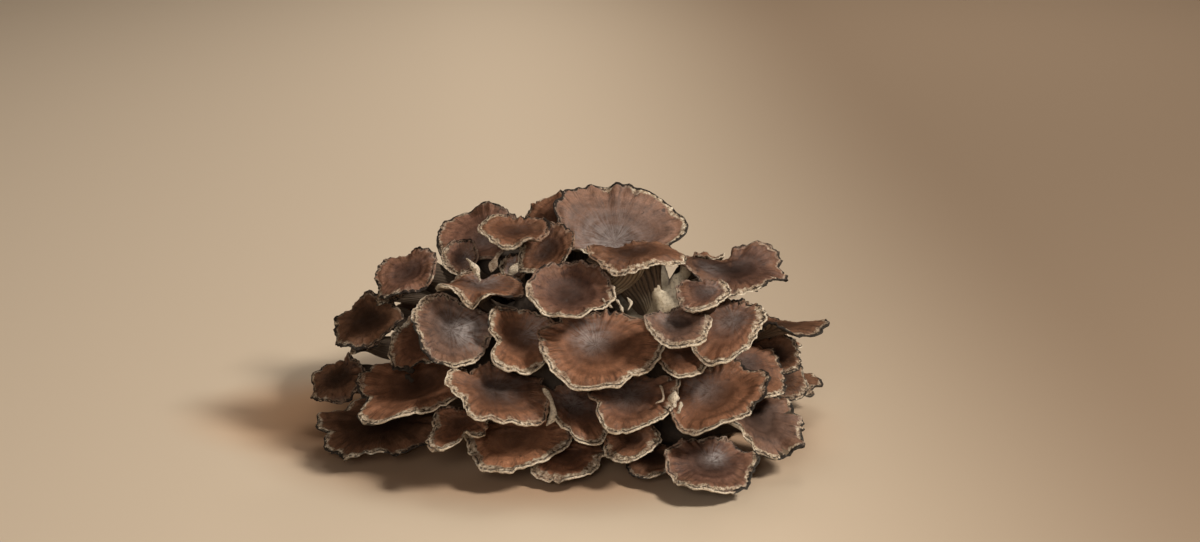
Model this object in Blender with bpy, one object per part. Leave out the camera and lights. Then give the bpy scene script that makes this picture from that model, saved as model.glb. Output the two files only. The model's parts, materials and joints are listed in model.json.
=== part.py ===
"""Maitake mushroom: one branched stem base and the fronds that grow from it, in metres with +Z up."""

import math

import bpy
import bmesh
from mathutils import Matrix, Vector
from mathutils.bvhtree import BVHTree

MM = 0.001

# Every frond is a cap on a stipe, built from rings of points.
SEGMENTS = 16
TOP_SHARES = (0.35, 0.65, 0.88, 1.0)  # rings on the upper side, as shares of the outline
UNDER_SHARES = (0.94, 0.6)  # rings on the lower side
HUB_THICKNESS = 4.2
RIM_THICKNESS = 1.8
RIM_ROUND = 0.5  # how far the rounded margin stands outside the outline
DISH_POWER = 1.7  # how steeply the cap rises from its hub
WAVE_POWER = 3
CURL_POWER = 6

# Each ring down the stipe: its radius against the stipe's own, and its share of the stipe's length.
STIPE_RINGS = ((1.45, 0.12), (1.0, 0.56), (0.95, 1.0))
STIPE_START = 0.8  # where the stipe starts below the hub, as a share of the cap's thickness
STIPE_TIP = 0.4  # how far the stipe's end bulges
# Each try is the stipe's slimness, how far behind the hub it starts and how far inwards it leaves.
STIPE_TRIES = (
    (1.0, 0.15, 0.7),
    (0.8, 0.3, 0.7),
    (0.65, 0.0, 0.3),
    (0.65, 0.3, 1.6),
    (0.5, 0.4, 0.7),
    (0.5, 0.3, 2.5),
    (0.4, 0.2, 0.0),
    (0.35, 0.5, 0.9),
    (0.35, 0.2, 2.0),
    (0.3, 0.1, 0.2),
)
BEND_START = 0.35  # shares of the stipe's length where its bend begins and ends
BEND_END = 0.65
ROOT_RING = (14, 12)  # half width and half depth of the ring of roots inside the stem base
ROOT_DROPS = (0.5, 0.35, 0.65)  # height of a root, as a share of the hub's
ROOT_TURNS = (0, 20, -20, 40, -40)
LEAST_STEPS = 4
PATH_STEPS = 40
LONG_ENOUGH = 8

# The stem base: height, half width and half depth of each ring, in millimetres.
BASE_RINGS = (
    (0, 43, 37),
    (5, 46, 40),
    (14, 51, 44),
    (25, 55, 48),
    (36, 56, 48),
    (46, 54, 45),
    (55, 48, 40),
    (63, 39, 32),
    (70, 28, 22),
    (75, 16, 13),
)
BASE_TOP = 78
BASE_LEAN = (0.15, -0.06)  # sideways drift of the rings, as a share of their height
BASE_SEGMENTS = 36
BASE_BRANCHES = 6
BRANCH_DEPTH = 0.12

GAP = 0.45  # clear space kept between pieces
NECK_ROOM = 6  # depth kept free below each hub, where the stipe starts
FLOOR_GAP = 1.5  # lowest point of a cap above the surface
STIPE_FLOOR_GAP = 0.5
LOWEST_HUB = 11
EASE_STEP = 1.0
EASE_ROUNDS = 200
NEAR = 85  # caps with hubs further apart than this never meet
CAP_HALF = 25  # half width of a usual cap
FLOOR_HALF = 400

DARK = (0.060, 0.035, 0.026)
BROWN = (0.150, 0.083, 0.058)
WARM = (0.185, 0.098, 0.062)
MAUVE = (0.155, 0.095, 0.080)
GREY = (0.165, 0.125, 0.112)
CREAM = (0.520, 0.430, 0.310)
SKIN_ROUGHNESS = 0.6
STEM_ROUGHNESS = 0.8


def frond(name, hub, heading, tilt, reach, roll=0, dish=3, curl=1.5, waves=(4, 1.6),
          lobes=(3, 0.06), phase=0, stipe=5.5, root=None, tint=BROWN):
    """One frond. hub is the middle of the zones, in millimetres. reach is the outline ahead, to its
    left, behind and to its right of the hub. dish lifts the margin and curl turns its edge down.
    root is where the stipe grows from, if it isn't straight inwards."""
    return {
        "name": name, "hub": Vector(hub), "heading": heading, "tilt": tilt, "roll": roll,
        "reach": reach, "dish": dish, "curl": curl, "waves": waves, "lobes": lobes,
        "phase": math.radians(phase), "stipe": stipe, "root": root, "tint": tint,
    }


# Heading 0 is +X and -90 faces the viewer. Tilt leans the cap towards its heading.
CROWN = [
    frond("crown_frond", (21, 4, 93), -80, 33, (13, 34, 37, 30), dish=5, curl=2,
          waves=(5, 2.6), phase=40, stipe=7, tint=GREY),
    frond("crown_saddle_frond", (29, -38, 101), -75, 11, (14, 25, 12, 20), dish=-1, curl=2.5,
          waves=(3, 2.6), phase=30, stipe=8.5, root=(34, -16, 45), tint=WARM),
    frond("crown_back_frond", (-8, 28, 100), -125, 34, (16, 18, 17, 18), dish=1, curl=2.5,
          phase=80),
    frond("upper_left_rear_frond", (-43, 19, 91), -135, 32, (22, 20, 19, 28), dish=4,
          waves=(4, 2), phase=20, tint=MAUVE),
    frond("upper_left_frond", (-27, -11, 102), -90, 15, (15, 17, 13, 18), dish=3, phase=10),
    frond("upper_middle_frond", (-12, -12, 93), -125, 36, (15, 14, 17, 14), dish=3,
          tint=BROWN, phase=60, stipe=4.5),
    frond("upright_frond", (-53, -11, 88), -100, 45, (8, 8, 12, 9), dish=2, curl=0.5,
          waves=(3, 1), stipe=4, tint=MAUVE),
    frond("folded_side_frond", (-56, 6, 75), -160, 18, (11, 8, 7, 8), dish=3,
          waves=(3, 1.5), phase=90, stipe=4, tint=BROWN),
    frond("folded_front_frond", (-43, -39, 84), -95, 12, (13, 23, 9, 20), dish=1, curl=2,
          waves=(4, 3), phase=-40, stipe=5, tint=WARM),
    frond("hollow_bud_frond", (-28, -9, 82), -90, 50, (6, 6, 9, 6), dish=2, curl=0.5,
          waves=(3, 0.8), stipe=3.5, tint=WARM),
    frond("round_dish_frond", (0, -50, 82), -90, 25, (19, 20, 20, 20), dish=6, curl=1,
          waves=(5, 0.9), lobes=(5, 0.02), phase=15, stipe=6, tint=MAUVE),
]

LEFT = [
    frond("left_shoulder_frond", (-77, -23, 86), -125, 30, (19, 15, 14, 16), dish=3, curl=2.5,
          waves=(4, 2), lobes=(4, 0.07), phase=45, tint=MAUVE),
    frond("left_shoulder_lobe", (-87, -20, 76), -140, 32, (9, 8, 7, 8), dish=1, waves=(3, 1),
          stipe=3.5, tint=DARK),
    frond("left_dark_frond", (-98, -17, 60), -135, 36, (19, 19, 15, 19), dish=2, curl=2,
          waves=(5, 2), phase=70, tint=DARK),
    frond("left_small_lobe", (-100, -12, 48), -140, 30, (9, 8, 7, 8), dish=1, waves=(3, 1.2),
          stipe=3.5, tint=DARK),
    frond("left_knotted_frond", (-67, -32, 58), -120, 28, (26, 18, 14, 18), dish=3,
          waves=(4, 1.6), phase=10, tint=BROWN),
    frond("left_sheen_frond", (-56, -48, 66), -78, 34, (24, 19, 18, 20), roll=-10, dish=4,
          waves=(4, 1.8), phase=60, stipe=6, tint=GREY),
    frond("left_large_frond", (-71, -50, 39), -122, 20, (33, 26, 20, 31), roll=5, dish=4, curl=2,
          waves=(4, 2), lobes=(4, 0.07), phase=30, stipe=6.5, tint=WARM),
    frond("far_left_frond", (-115, -2, 25), -130, 37, (15, 16, 13, 16), dish=1, curl=2.5,
          waves=(4, 2.4), phase=100, stipe=5, tint=DARK),
    frond("left_bottom_frond", (-90, -40, 17), -118, 15, (32, 33, 20, 31), roll=4, dish=2, curl=2,
          waves=(5, 2), lobes=(5, 0.08), phase=20, stipe=6.5, tint=DARK),
]

FRONT = [
    frond("heart_frond", (-24, -53, 64), -80, 31, (26, 17, 17, 16), roll=-6, dish=3, curl=1,
          waves=(3, 1.8), lobes=(3, 0.1), phase=100, stipe=6, tint=WARM),
    frond("central_frond", (12, -63, 63), -88, 24, (32, 32, 20, 27), dish=4, curl=1.5,
          waves=(5, 1.5), lobes=(3, 0.04), phase=50, stipe=7, tint=WARM),
    frond("front_long_frond", (-35, -74, 45), -75, 22, (27, 26, 15, 22), roll=-10, dish=3, curl=2,
          waves=(4, 2), lobes=(5, 0.08), phase=140, stipe=6, tint=WARM),
    frond("front_folded_frond", (1, -65, 34), -70, 20, (26, 20, 15, 15), roll=-6, dish=2, curl=2,
          waves=(5, 2), lobes=(3, 0.06), phase=0, tint=BROWN),
    frond("front_middle_frond", (28, -70, 40), -90, 21, (26, 22, 16, 20), dish=3,
          waves=(4, 1.6), phase=30, stipe=6, tint=BROWN),
    frond("bottom_small_frond", (-50, -77, 30), -112, 18, (22, 12, 10, 14), dish=2, curl=2,
          waves=(3, 2), lobes=(4, 0.1), phase=60, tint=WARM),
    frond("bottom_front_frond", (-25, -65, 19), -92, 15, (30, 25, 12, 26), dish=3, curl=1.5,
          waves=(4, 1.4), phase=45, stipe=6, tint=WARM),
    frond("bottom_step_frond", (0, -67, 11), -92, 12, (25, 16, 9, 20), dish=2, curl=1.5,
          waves=(5, 1.6), phase=80, tint=BROWN),
    frond("bottom_middle_frond", (30, -75, 21), -98, 16, (18, 12, 9, 15), dish=2,
          waves=(3, 1.6), phase=10, stipe=4.5, tint=WARM),
    frond("bottom_dark_frond", (42, -69, 11), -105, 10, (20, 12, 9, 18), dish=1,
          waves=(4, 1.5), phase=0, stipe=4.5, tint=DARK),
]

RIGHT = [
    frond("right_saddle_frond", (77, -28, 88), -80, 15, (19, 28, 16, 24), roll=-3, dish=2, curl=2,
          waves=(3, 4), lobes=(3, 0.08), phase=-20, stipe=6, tint=MAUVE),
    frond("right_rear_lobe", (67, 8, 83), 95, 12, (9, 8, 6, 8), waves=(3, 1), stipe=4),
    frond("right_small_frond", (63, -60, 87), -110, 16, (16, 11, 10, 14), dish=2,
          waves=(3, 1), stipe=4.5, tint=MAUVE),
    frond("middle_small_frond", (47, -70, 76), -65, 20, (20, 18, 9, 14), dish=2,
          waves=(3, 1.4), phase=50, stipe=4.5, tint=GREY),
    frond("right_middle_frond", (76, -53, 72), -105, 25, (31, 15, 12, 21), dish=3, curl=1.5,
          waves=(4, 1.6), phase=20, tint=BROWN),
    frond("right_back_lobe", (85, 3, 57), -40, 20, (14, 11, 8, 10), waves=(3, 1.2),
          stipe=4, tint=DARK),
    frond("right_wing_frond", (95, -19, 58), -4, 3, (29, 16, 10, 14), roll=-8, dish=1, curl=1,
          waves=(4, 2), phase=60, stipe=5, tint=DARK),
    frond("right_edge_frond", (99, -15, 43), -60, 30, (15, 13, 9, 14), waves=(4, 1.5),
          stipe=4.5, tint=DARK),
    frond("middle_hidden_frond", (52, -64, 60), -85, 14, (19, 14, 8, 13), dish=1,
          waves=(3, 1.2), stipe=4.5, tint=BROWN),
    frond("right_large_frond", (66, -65, 41), -100, 24, (29, 27, 18, 21), roll=8, dish=4, curl=1.5,
          waves=(5, 1.6), lobes=(3, 0.05), phase=30, stipe=6.5, tint=WARM),
    frond("right_side_frond", (83, -37, 45), -45, 26, (26, 18, 11, 17), dish=2,
          waves=(4, 1.8), phase=90, tint=BROWN),
    frond("far_right_frond", (102, -10, 29), -45, 28, (16, 15, 10, 15), dish=2,
          waves=(4, 2), phase=45, stipe=4.5, tint=DARK),
    frond("right_lower_frond", (86, -50, 25), -50, 24, (32, 21, 12, 21), dish=2, curl=1,
          waves=(5, 2.2), lobes=(4, 0.06), phase=70, stipe=6, tint=GREY),
    frond("bottom_right_frond", (65, -85, 13), -88, 18, (26, 20, 16, 21), roll=-4, dish=3, curl=1,
          waves=(4, 1.5), lobes=(3, 0.04), phase=150, stipe=6, tint=MAUVE),
]

BACK = [
    frond("back_crown_frond", (26, 38, 89), 65, 28, (32, 29, 15, 28), dish=4, phase=25,
          stipe=6, tint=MAUVE),
    frond("back_upper_left_frond", (-29, 46, 80), 112, 28, (33, 28, 14, 28), dish=4, phase=75,
          stipe=6, tint=BROWN),
    frond("back_upper_right_frond", (64, 32, 71), 32, 24, (33, 28, 14, 28), dish=3, phase=110,
          tint=WARM),
    frond("back_left_shoulder_frond", (-68, 42, 62), 140, 24, (32, 25, 14, 27), dish=3,
          phase=5, tint=MAUVE),
    frond("back_centre_frond", (4, 61, 63), 90, 26, (36, 34, 18, 33), dish=5,
          waves=(5, 1.8), phase=40, stipe=6.5, tint=WARM),
    frond("back_middle_right_frond", (44, 61, 47), 58, 25, (36, 32, 16, 30), dish=4,
          phase=95, stipe=6, tint=BROWN),
    frond("back_middle_left_frond", (-42, 60, 44), 122, 25, (37, 31, 16, 32), dish=3,
          waves=(4, 2.2), phase=55, stipe=6, tint=GREY),
    frond("back_right_side_frond", (84, 25, 42), 20, 22, (32, 27, 14, 29), dish=3,
          phase=15, tint=BROWN),
    frond("back_left_side_frond", (-87, 35, 47), 155, 20, (32, 28, 14, 28), dish=3,
          phase=65, tint=DARK),
    frond("back_lower_centre_frond", (2, 76, 33), 90, 19, (36, 34, 16, 34), dish=4,
          waves=(5, 2), phase=0, stipe=6.5, tint=WARM),
    frond("back_lower_right_frond", (62, 58, 26), 46, 16, (37, 32, 16, 31), dish=3,
          waves=(5, 2), phase=85, stipe=6, tint=MAUVE),
    frond("back_lower_left_frond", (-60, 58, 25), 130, 15, (38, 32, 16, 32), dish=3,
          waves=(5, 2), phase=35, stipe=6, tint=BROWN),
    frond("back_bottom_frond", (30, 78, 13), 72, 9, (29, 28, 12, 28), dish=2, phase=120,
          stipe=5, tint=DARK),
    frond("back_bottom_right_frond", (92, 18, 19), 4, 11, (32, 28, 14, 28), dish=2,
          waves=(5, 1.8), phase=50, stipe=5.5, tint=DARK),
    frond("back_bottom_left_frond", (-30, 78, 12), 108, 8, (29, 28, 12, 26), dish=1,
          phase=15, stipe=5, tint=DARK),
]

FRONDS = CROWN + LEFT + FRONT + RIGHT + BACK


def placement(item):
    """World placement of a frond in millimetres: X ahead, Y to its left, Z out of the cap."""
    heading = Matrix.Rotation(math.radians(item["heading"]), 4, "Z")
    tilt = Matrix.Rotation(math.radians(item["tilt"]), 4, "Y")
    roll = Matrix.Rotation(math.radians(item["roll"]), 4, "X")
    return Matrix.Translation(item["hub"]) @ heading @ tilt @ roll


def outline_radius(item, angle):
    """Four quarter ellipses round the hub, made wavy by the lobes."""
    ahead, left, behind, right = item["reach"]
    along = ahead if math.cos(angle) > 0 else behind
    across = left if math.sin(angle) > 0 else right
    radius = 1 / math.hypot(math.cos(angle) / along, math.sin(angle) / across)
    count, depth = item["lobes"]
    return radius * (1 + depth * math.cos(count * angle + item["phase"]))


def cap_top(item, share, angle):
    radius = outline_radius(item, angle) * share
    count, height = item["waves"]
    rise = item["dish"] * share**DISH_POWER
    rise -= item["curl"] * share**CURL_POWER
    rise += height * share**WAVE_POWER * math.sin(count * angle + item["phase"])
    return Vector((radius * math.cos(angle), radius * math.sin(angle), rise))


def cap_normal(item, share, angle):
    step = 0.02
    outward = cap_top(item, share + step, angle) - cap_top(item, share - step, angle)
    around = cap_top(item, share, angle + step) - cap_top(item, share, angle - step)
    return outward.cross(around).normalized()


def cap_under(item, share, angle):
    thickness = HUB_THICKNESS + (RIM_THICKNESS - HUB_THICKNESS) * share
    return cap_top(item, share, angle) - thickness * cap_normal(item, share, angle)


def cap_rim(item, angle):
    middle = (cap_top(item, 1, angle) + cap_under(item, 1, angle)) / 2
    outward = Vector((math.cos(angle), math.sin(angle), 0))
    return middle + RIM_ROUND * outward


def angles():
    return [math.tau * i / SEGMENTS for i in range(SEGMENTS)]


def cap_rings(item):
    """The cap's rings in the frond's own frame, from the one nearest the hub round to the lower side."""
    rings = [[cap_top(item, share, a) for a in angles()] for share in TOP_SHARES]
    rings.append([cap_rim(item, a) for a in angles()])
    rings += [[cap_under(item, share, a) for a in angles()] for share in UNDER_SHARES]
    return rings


def faces_of(ring_count, segments):
    """Faces of a closed body: a pole, its rings, and a pole that ends it."""
    faces = []
    last = 1 + ring_count * segments
    for i in range(segments):
        after = (i + 1) % segments
        faces.append((0, 1 + i, 1 + after))
        faces.append((last, last - segments + after, last - segments + i))
        for ring in range(ring_count - 1):
            start = 1 + ring * segments
            below = start + segments
            faces.append((start + i, below + i, below + after))
            faces.append((start + i, below + after, start + after))
    return faces


def crosses_itself(points, faces):
    tree = BVHTree.FromPolygons(points, faces)
    return any(not set(faces[a]) & set(faces[b]) for a, b in tree.overlap(tree) if a < b)


def body_points(item, rings, end):
    place = placement(item)
    points = [place @ Vector((0, 0, 0))]
    for ring in rings:
        points += [place @ point for point in ring]
    return points + [place @ end]


def shell_tree(item, swell, neck=0):
    """Search tree of the cap, thickened by swell on both sides, with room below it for a neck."""
    rings = cap_rings(item)
    lift = Vector((0, 0, swell))
    top_count = len(TOP_SHARES)
    for number, ring in enumerate(rings):
        side = lift if number < top_count else -lift if number > top_count else Vector((0, 0, 0))
        rings[number] = [point * (1 + swell / CAP_HALF) + side for point in ring]
    points = body_points(item, rings, Vector((-neck / 2, 0, -HUB_THICKNESS - swell - neck)))
    return BVHTree.FromPolygons(points, faces_of(len(rings), SEGMENTS))


def base_points(swell=0):
    """The stem base's rings, from its cut foot up, swelling where its branches part."""
    points = []
    for height, half_width, half_depth in BASE_RINGS:
        rise = height / BASE_TOP
        for i in range(BASE_SEGMENTS):
            angle = math.tau * i / BASE_SEGMENTS
            branch = 1 + BRANCH_DEPTH * rise * math.cos(BASE_BRANCHES * angle)
            x = BASE_LEAN[0] * height + (half_width * branch + swell) * math.cos(angle)
            y = BASE_LEAN[1] * height + (half_depth * branch + swell) * math.sin(angle)
            points.append(Vector((x, y, height + swell * rise)))
    top = Vector((BASE_LEAN[0], BASE_LEAN[1], 1)) * BASE_TOP
    points.append(top + Vector((0, 0, swell)))
    return points


def base_faces():
    count = BASE_SEGMENTS
    rings = len(BASE_RINGS)
    faces = [tuple(reversed(range(count)))]
    for i in range(count):
        after = (i + 1) % count
        for ring in range(rings - 1):
            start = ring * count
            faces.append((start + i, start + after, start + count + after, start + count + i))
        top = (rings - 1) * count
        faces.append((top + i, top + after, rings * count))
    return faces


def up_of(item):
    return (placement(item).to_3x3() @ Vector((0, 0, 1))).normalized()


def size_of(item):
    return sum(item["reach"]) ** 2


def keep_off_floor(item):
    place = placement(item)
    lowest = min((place @ point).z for ring in cap_rings(item) for point in ring)
    item["hub"].z += max(0.0, FLOOR_GAP - lowest, LOWEST_HUB - item["hub"].z)


def ease_apart(items, base_tree):
    """Moves caps that meet apart until nothing touches, and the smaller one further, as growth does."""
    trees = [shell_tree(item, GAP, NECK_ROOM) for item in items]
    for _ in range(EASE_ROUNDS):
        moves = [Vector((0, 0, 0)) for _ in items]
        for i, item in enumerate(items):
            if trees[i].overlap(base_tree):
                moves[i] += up_of(item) * EASE_STEP
            for j in range(i + 1, len(items)):
                other = items[j]
                if (item["hub"] - other["hub"]).length > NEAR or not trees[i].overlap(trees[j]):
                    continue
                normal = (up_of(item) + up_of(other)).normalized()
                side = 1 if (item["hub"] - other["hub"]).dot(normal) > 0 else -1
                push = (normal + Vector((0, 0, 1))).normalized() * side * EASE_STEP
                share = size_of(other) / (size_of(item) + size_of(other))
                moves[i] += push * share
                moves[j] -= push * (1 - share)
        moved = [i for i, move in enumerate(moves) if move.length > 0]
        if not moved:
            break
        for i in moved:
            items[i]["hub"] += moves[i]
            keep_off_floor(items[i])
            trees[i] = shell_tree(items[i], GAP, NECK_ROOM)


def stipe_path(start, leave, root):
    """Points of a curve that leaves the cap downwards and bends towards the root."""
    length = (root - start).length
    first = start + leave * length * BEND_START
    second = start.lerp(root, BEND_END)
    path = []
    for step in range(PATH_STEPS + 1):
        t = step / PATH_STEPS
        towards_second = first.lerp(second, t)
        early = start.lerp(first, t).lerp(towards_second, t)
        late = towards_second.lerp(second.lerp(root, t), t)
        path.append(early.lerp(late, t))
    return path


def ring_round(centre, along, ahead, radius):
    """A ring of points round a stipe, starting on the side that faces the cap's heading."""
    across = along.cross(ahead).normalized()
    front = across.cross(along).normalized()
    return [centre + radius * (math.cos(a) * front - math.sin(a) * across) for a in angles()]


def stipe_rings(item, path, reach, slimness=1.0, swell=0.0):
    """Rings down the stipe as far as reach, a share of its path, and the point that ends it."""
    ahead = placement(item).to_3x3() @ Vector((1, 0, 0))
    rings = []
    for flare, share in STIPE_RINGS:
        step = reach * share * PATH_STEPS
        number = min(int(step), PATH_STEPS - 1)
        centre = path[number].lerp(path[number + 1], step - number)
        along = (path[number + 1] - path[number]).normalized()
        if not rings:
            along = (along - up_of(item)).normalized()
        radius = item["stipe"] * slimness * flare + swell
        rings.append(ring_round(centre, along, ahead, radius))
    end = centre + along * (STIPE_TIP + swell)
    return rings, end


def roots_for(item):
    """Points in the stem base that the stipe can grow from, the straightest way first."""
    if item["root"]:
        yield Vector(item["root"])
    x, y, z = item["hub"]
    for drop in ROOT_DROPS:
        for turn in ROOT_TURNS:
            angle = math.atan2(y, x) + math.radians(turn)
            yield Vector((ROOT_RING[0] * math.cos(angle), ROOT_RING[1] * math.sin(angle), z * drop))


def stem_tree(item, rings, end, swell):
    """Search tree of the stipe and of the cap's lower side that runs into it."""
    place = placement(item)
    down = Vector((0, 0, swell))
    skirt = [place @ (cap_under(item, UNDER_SHARES[-1], a) - down) for a in angles()]
    points = [item["hub"]] + [point for ring in [skirt] + rings for point in ring] + [end]
    return BVHTree.FromPolygons(points, faces_of(len(rings) + 1, SEGMENTS))


def whole_frond(item, rings, end):
    """Points and faces of the cap with its stipe."""
    inverse = placement(item).inverted()
    local = cap_rings(item) + [[inverse @ point for point in ring] for ring in rings]
    return body_points(item, local, inverse @ end), faces_of(len(local), SEGMENTS)


def grow_stipe(item, obstacles):
    """The longest stipe that reaches towards the stem base without meeting anything."""
    place = placement(item)
    ahead = place.to_3x3() @ Vector((1, 0, 0))
    best_length = 0
    best = None
    for slimness, back, inward in STIPE_TRIES:
        leave = -up_of(item) if item["root"] else (-up_of(item) - inward * ahead).normalized()
        start = place @ Vector((-back * item["reach"][2], 0, -HUB_THICKNESS * STIPE_START))
        for root in roots_for(item):
            path = stipe_path(start, leave, root)
            for number in range(PATH_STEPS, LEAST_STEPS, -1):
                length = (path[number] - start).length
                if length <= best_length:
                    break
                reach = number / PATH_STEPS
                rings, end = stipe_rings(item, path, reach, slimness, GAP)
                tree = stem_tree(item, rings, end, GAP)
                if any(tree.overlap(obstacle) for obstacle in obstacles):
                    continue
                slim = stipe_rings(item, path, reach, slimness)
                if not crosses_itself(*whole_frond(item, *slim)):
                    best = slim
                    best_length = length
                    break
        if best_length > LONG_ENOUGH:
            break
    if best is None:
        raise RuntimeError(f"no room for a stipe under {item['name']}")
    return best


def make_object(name, points, faces, tint, roughness):
    mesh = bpy.data.meshes.new(name)
    mesh.from_pydata([point * MM for point in points], [], faces)
    shape = bmesh.new()
    shape.from_mesh(mesh)
    bmesh.ops.recalc_face_normals(shape, faces=shape.faces)
    shape.to_mesh(mesh)
    shape.free()
    material = bpy.data.materials.new(name)
    material.use_nodes = True
    surface = material.node_tree.nodes["Principled BSDF"]
    surface.inputs["Base Color"].default_value = (*tint, 1)
    surface.inputs["Roughness"].default_value = roughness
    surface.inputs["Metallic"].default_value = 0.0
    mesh.materials.append(material)
    item = bpy.data.objects.new(name, mesh)
    bpy.context.scene.collection.objects.link(item)
    return item


def floor_tree():
    corners = ((-1, -1), (1, -1), (1, 1), (-1, 1))
    points = [Vector((x * FLOOR_HALF, y * FLOOR_HALF, STIPE_FLOOR_GAP)) for x, y in corners]
    return BVHTree.FromPolygons(points, [(0, 1, 2, 3)])


def clear_scene():
    for item in list(bpy.data.objects):
        bpy.data.objects.remove(item, do_unlink=True)


def main():
    clear_scene()
    base_tree = BVHTree.FromPolygons(base_points(GAP), base_faces())
    make_object("stem_base", base_points(), base_faces(), CREAM, STEM_ROUGHNESS)
    ease_apart(FRONDS, base_tree)
    shells = [shell_tree(item, GAP) for item in FRONDS]
    fixed = [base_tree, floor_tree()]
    stipes = []
    for number in sorted(range(len(FRONDS)), key=lambda i: size_of(FRONDS[i])):
        item = FRONDS[number]
        others = shells[:number] + shells[number + 1:]
        rings, end = grow_stipe(item, others + fixed + stipes)
        points, faces = whole_frond(item, rings, end)
        make_object(item["name"], points, faces, item["tint"], SKIN_ROUGHNESS)
        stipes.append(stem_tree(item, rings, end, 0))


main()
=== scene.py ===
# Maitake mushroom: the finished fronds, stem and studio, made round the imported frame. Metres, +Z up.
import json
import math
from types import SimpleNamespace
import zlib

import bpy
import numpy as np
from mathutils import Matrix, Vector


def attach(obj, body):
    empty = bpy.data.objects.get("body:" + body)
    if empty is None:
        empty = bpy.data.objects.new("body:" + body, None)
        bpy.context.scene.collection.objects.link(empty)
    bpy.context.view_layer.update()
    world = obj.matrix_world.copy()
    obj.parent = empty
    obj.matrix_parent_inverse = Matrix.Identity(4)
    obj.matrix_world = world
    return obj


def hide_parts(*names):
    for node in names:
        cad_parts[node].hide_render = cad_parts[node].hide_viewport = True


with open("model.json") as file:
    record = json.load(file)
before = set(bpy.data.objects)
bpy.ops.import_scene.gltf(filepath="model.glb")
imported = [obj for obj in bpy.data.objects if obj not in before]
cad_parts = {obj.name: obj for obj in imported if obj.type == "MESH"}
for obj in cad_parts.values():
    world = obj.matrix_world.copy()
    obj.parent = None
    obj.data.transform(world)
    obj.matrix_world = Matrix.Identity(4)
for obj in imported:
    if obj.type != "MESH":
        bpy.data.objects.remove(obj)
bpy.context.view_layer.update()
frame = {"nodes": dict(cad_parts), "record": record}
cadNodes = frame["nodes"]
slotOf = {row["node"]: row["material_slot"] for row in frame["record"]["subparts"]}
mm = 0.001
bpy.ops.object.select_all(action="DESELECT")

cameraPlace = {"aim": (0.014, 0.0, 0.0793), "distance": 1.17, "rise": 17, "lens": 72, "film": 36, "sees": 60}

studio = {
    "floorHalf": 9.0,
    "floorPale": (0.67, 0.55, 0.41),
    # The floor's darkening towards its right and rear is painted shade.
    "floorShadeTint": (0.265, 0.192, 0.130),
    "floorSlant": 0.10,  # how much the floor darkens with Y against X
    "floorFade": (-0.03, 0.32),  # where it starts and ends to darken
    "paintedShadowStrength": 0.75,
    "airColour": (0.90, 0.52, 0.30, 1),
    "airStrength": 0.05,
}

# Painted shadows on the floor under the cluster, warm and dark: colour, stretch, centre, where each ends and
# where it is full.
paintedShadows = (
    ((0.62, 0.34, 0.17), (1.0, 1.6, 1.0), (-0.085, 0.02, 0), 0.125, 0.05),
    ((0.44, 0.26, 0.15), (1.0, 1.3, 1.0), (-0.015, -0.010, 0), 0.160, 0.095),
)

# place, aim, width, power, colour
lamps = {
    "keyLamp": ((0.88, -0.44, 0.98), (0, 0, 0.04), 0.26, 17.0, (1.0, 0.94, 0.86)),
    "frontLamp": ((-0.20, -1.5, 0.66), (0, 0, 0.04), 0.50, 6.6, (1.0, 0.93, 0.86)),
    "topLamp": ((0.10, 0.65, 1.15), (0, 0, 0.06), 0.65, 4.0, (1.0, 0.96, 0.92)),
    "backdropLamp": ((0.35, 1.1, 0.75), (0.35, 1.1, 0), 0.4, 4.0, (1.0, 0.95, 0.88)),
}


def addCamera():
    rise = math.radians(cameraPlace["rise"])
    back = Vector((0, -math.cos(rise), math.sin(rise)))
    place = Vector(cameraPlace["aim"]) + back * cameraPlace["distance"]
    bpy.ops.object.camera_add(location=place, rotation=(math.pi / 2 - rise, 0, 0))
    camera = bpy.context.object
    camera.data.lens = cameraPlace["lens"]
    camera.data.sensor_width = cameraPlace["film"]
    camera.data.clip_end = cameraPlace["sees"]
    bpy.context.scene.camera = camera


def addStudio():
    bpy.ops.mesh.primitive_circle_add(vertices=96, radius=studio["floorHalf"], fill_type="NGON")
    floor = bpy.context.object
    floor.name = "studio_floor"
    floor.data.materials.append(floorPaint())
    for name, (place, aim, width, power, colour) in lamps.items():
        turned = (Vector(aim) - Vector(place)).to_track_quat("-Z", "Y").to_euler()
        bpy.ops.object.light_add(type="AREA", location=place, rotation=turned)
        lamp = bpy.context.object
        lamp.name = name
        lamp.data.size = width
        lamp.data.energy = power
        lamp.data.color = colour
        lamp.visible_glossy = name in ("keyLamp", "frontLamp")
    world = bpy.data.worlds.new("studioAir")
    world.use_nodes = True
    air = world.node_tree.nodes["Background"]
    air.inputs["Color"].default_value = studio["airColour"]
    air.inputs["Strength"].default_value = studio["airStrength"]
    bpy.context.scene.world = world
    bpy.context.scene.view_settings.view_transform = "Standard"


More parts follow.
